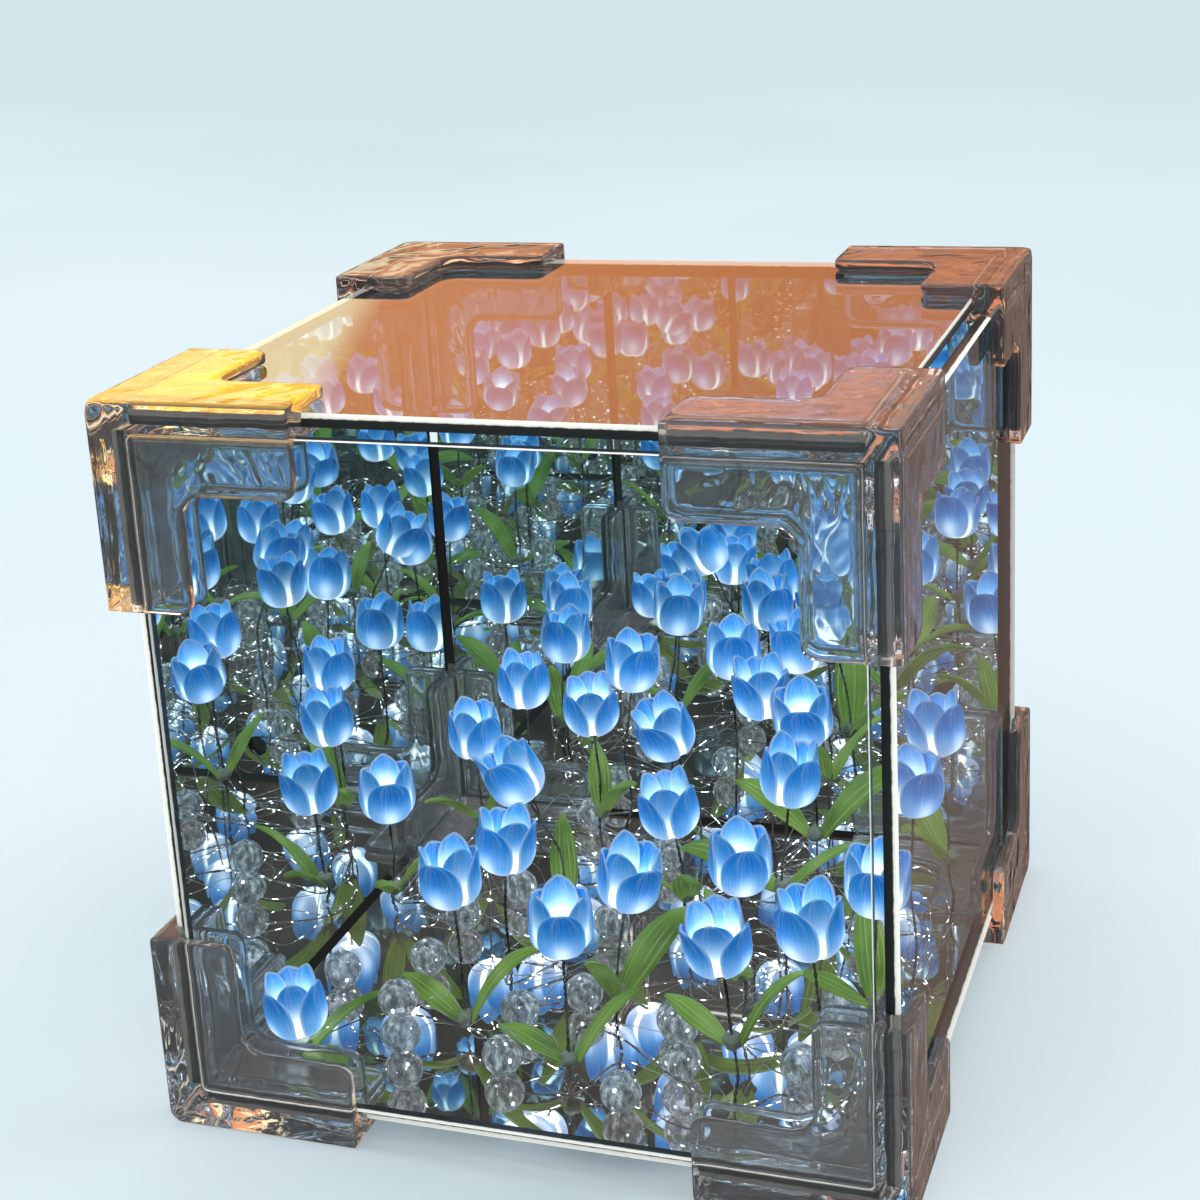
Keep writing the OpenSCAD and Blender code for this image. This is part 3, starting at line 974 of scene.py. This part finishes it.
def fine_loop(draw, a, b):
    """A loose fine strand from foot to foot, which wanders to the sides and upwards."""
    loop = [a]
    for share in (0.25, 0.5, 0.75):
        wander = (draw.uniform(-4, 4), draw.uniform(-4, 4), draw.uniform(-1, 7))
        loop.append(a.lerp(b, share) + Vector(wander) * MM)
    return spline(loop + [b], 7)


def make_string_wire():
    """The string runs from foot to foot in low loops, with a few looser strands beside it."""
    outlet = Vector((OUTLET_X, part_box("back_panel")[0].y, FLOOR_TOP + OUTLET_RISE))
    route = [outlet + Vector(step) * MM for step in ((0, -2, 0), (-4, -4, -2))]
    route.append(Vector((outlet.x - 7 * MM, outlet.y - 3 * MM, FLOOR_TOP + STRING_RISE)))
    rise = Vector((0, 0, STRING_RISE))
    feet = [stem_points(i)[0] + rise for i in reversed(range(len(LEANS)))]
    shape = Shape()
    fine = Shape()
    draw = random.Random(900)
    for i, (a, b) in enumerate(zip(feet, feet[1:])):
        across = (b - a).cross(Vector((0, 0, 1))).normalized()
        side = 3 * MM if i % 2 == 0 else -3 * MM
        route += [a, (a + b) / 2 + across * side + Vector((0, 0, (1 + i % 3) * MM))]
        for _ in range(3):
            fine.tube(fine_loop(draw, a, b), 0.075 * MM, 4)
    route.append(feet[-1])
    twisted_pair(shape, spline(route, 12), 0.13 * MM, 0.11 * MM, 2.2 * MM, 0.0)
    twisted = wire_material("string_enamel", (0.16, 0.14, 0.12), (0.60, 0.57, 0.52), painted_glint_strength=3.0)
    pale = wire_material("fine_enamel", (0.50, 0.47, 0.42), (0.92, 0.89, 0.83), painted_glint_strength=6.0)
    shape.make("string_wire_pair", [twisted], "string_wire")
    fine.make("string_fine_loops", [pale], "string_wire")


def scattered_dots(shader, place):
    """1 in a few small dots of uneven size, and 0 between them."""
    dots = shader.add("ShaderNodeTexVoronoi", Vector=place, Scale=1.0).outputs
    chosen = shader.add("ShaderNodeSeparateXYZ", Vector=dots["Color"]).outputs
    small = shader.math("LESS_THAN", dots["Distance"], shader.math("MULTIPLY", chosen[1], 0.30))
    return shader.math("MULTIPLY", shader.math("GREATER_THAN", chosen[0], 0.80), small)


def bead_material():
    """Crackle glass: clear, with white and dark splinters inside, a faint painted glow and a few
    painted glints.
    """
    material, shader = new_material("crackle_bead")
    place = shader.add("ShaderNodeTexCoord").outputs["Object"]
    streak = shader.noise(shader.stretched(place, (1100, 1100, 420)), 1.0, 4.0)
    cells = shader.add(
        "ShaderNodeTexVoronoi", {"feature": "DISTANCE_TO_EDGE"},
        Vector=shader.stretched(place, (700, 700, 380)), Scale=1.0,
    ).outputs["Distance"]
    crack = shader.rescale(cells, 0.0, 0.07, 1.0, 0.0)
    splinter = shader.ramp(
        streak,
        [(0.30, (0.02, 0.025, 0.025)), (0.48, (0.20, 0.23, 0.24)), (0.60, (0.42, 0.47, 0.48)),
         (0.68, (0.95, 0.97, 1.0))],
    )
    bright_crack = shader.math("MULTIPLY", crack, shader.rescale(streak, 0.45, 0.6))
    splinter = shader.mix_colour(bright_crack, splinter, (0.9, 0.95, 1.0))
    normal = shader.bump(shader.math("ADD", cells, streak), 0.6, 0.0004)
    clear = shader.add("ShaderNodeBsdfTransparent", Color=(0.93, 0.95, 0.96))
    gloss = shader.add(
        "ShaderNodeBsdfGlossy", Color=(0.95, 0.97, 1.0), Roughness=0.10, Normal=normal
    )
    # Painted light: the splinters give off a faint glow in their own colour.
    body = shader.add(
        "ShaderNodeBsdfPrincipled", Base_Color=splinter, Roughness=0.2, Normal=normal,
        Emission_Color=splinter, Emission_Strength=0.40,
    )
    slant = shader.add("ShaderNodeLayerWeight", Blend=0.45, Normal=normal).outputs["Facing"]
    shell = shader.mix_shader(
        shader.rescale(slant, 0.1, 0.9, 0.12, 0.7), clear.outputs[0], gloss.outputs[0]
    )
    filled = shader.mix_shader(0.55, shell, body.outputs[0])
    # Painted light: a few small dots give off bright glints.
    painted_light = scattered_dots(shader, shader.stretched(place, (900, 900, 620)))
    painted_glint = shader.add("ShaderNodeEmission", Color=(0.92, 0.96, 1.0), Strength=3.5)
    shader.finish(shader.mix_shader(painted_light, filled, painted_glint.outputs[0]))
    material.cycles.emission_sampling = "NONE"
    return material


def make_beads():
    """Twenty clear beads on the floor, two of them on top of others."""
    shape = Shape()
    for i, (x, y, below) in enumerate(BEADS):
        centre = Vector((x * MM, y * MM, FLOOR_TOP + BEAD_REST + below * BEAD_STEP))
        shape.ball(centre, BEAD_RADIUS, 18, 26, wobble=0.03, seed=3.0 * i)
    shape.make("crackle_bead_set", [bead_material()], "crackle_beads")


# ---------------------------------------------------------------- all together

def tune_renderer():
    """Enough bounces for the repeated reflections, and colours shown as they are."""
    scene = bpy.context.scene
    scene.cycles.max_bounces = 9
    scene.cycles.diffuse_bounces = 1
    scene.cycles.glossy_bounces = 6
    scene.cycles.transmission_bounces = 6
    scene.cycles.transparent_max_bounces = 18
    scene.cycles.sample_clamp_indirect = 4.0
    scene.view_settings.view_transform = "Standard"


make_camera()
make_lights()
make_world()
make_floor()
dress_panels()
dress_brackets()
make_tulips()
make_leaves()
make_stems()
make_string_wire()
make_beads()
tune_renderer()
